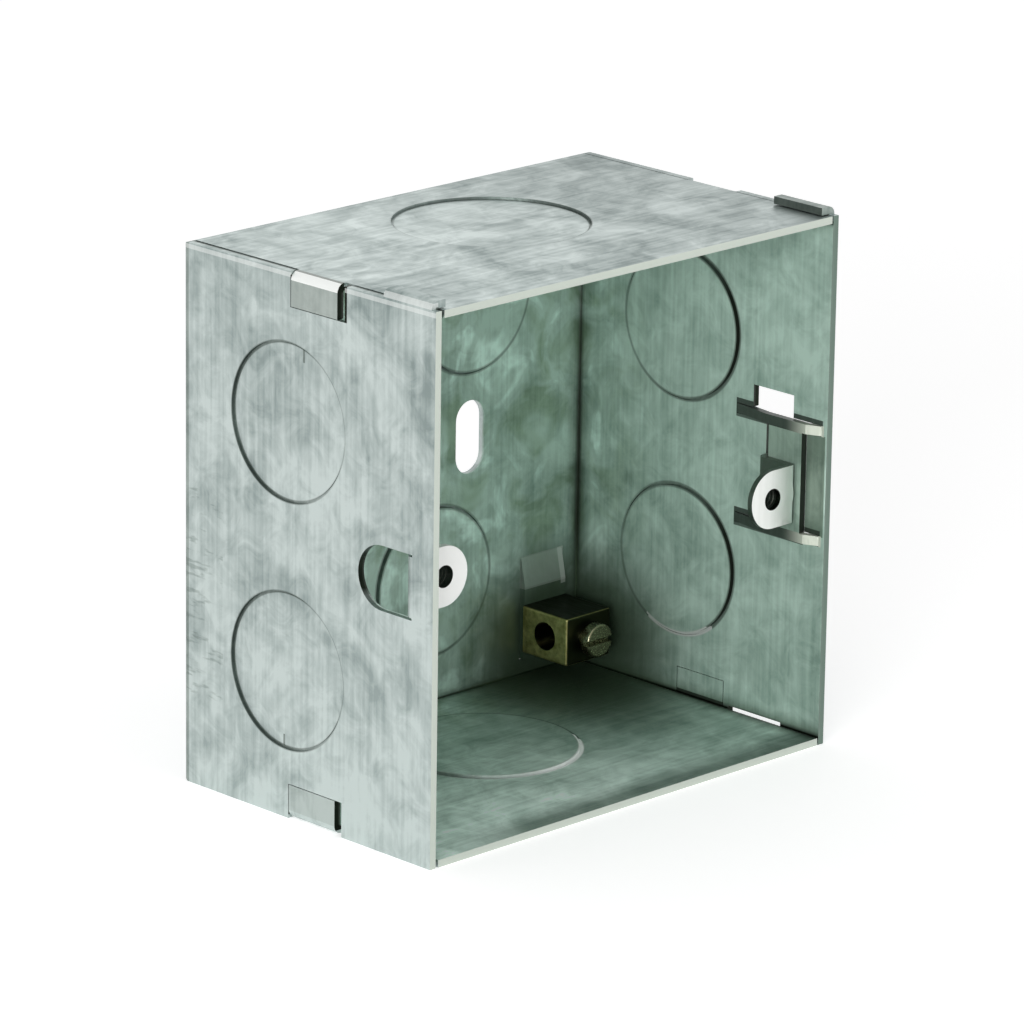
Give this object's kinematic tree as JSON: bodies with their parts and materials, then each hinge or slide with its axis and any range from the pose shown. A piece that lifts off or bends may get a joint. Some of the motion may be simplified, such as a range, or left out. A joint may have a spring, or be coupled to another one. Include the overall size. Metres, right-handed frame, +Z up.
{
  "type": "flush back box",
  "caption": "Open-fronted folded galvanised steel box with knockouts, a fixed lug, a sliding lug and a brass earth terminal, for sinking a wiring accessory into a wall.",
  "frame": {"origin": "centre of the back face, where the box lies against the wall", "axes": "+Y out of the back into the wall, +Z up as the box stands in the picture, +X to the right seen from the open front, which faces -Y"},
  "size_m": [0.073, 0.047, 0.0742],
  "materials": {
    "galvanised_sheet": "galvanised, mottled and lightly streaked",
    "lug_steel": "bright zinc plate",
    "terminal_brass": "dull machined brass",
    "screw_brass": "turned brass"
  },
  "bodies": {
    "box": {"box_body": "galvanised_sheet", "earth_terminal_block": "terminal_brass"},
    "sliding_lug": {"adjustable_lug": "lug_steel"},
    "clamp_screw": {"earth_terminal_screw": "screw_brass"}
  },
  "joints": [
    {"name": "lug_slide", "type": "slide", "parent": "box", "child": "sliding_lug", "axis": [0, 0, 1], "range_m": [-0.0012, 0.0042]},
    {"name": "screw_clamp", "type": "slide", "parent": "box", "child": "clamp_screw", "axis": [0, 1, 0], "range_m": [-0.0008, 0.0008]}
  ]
}
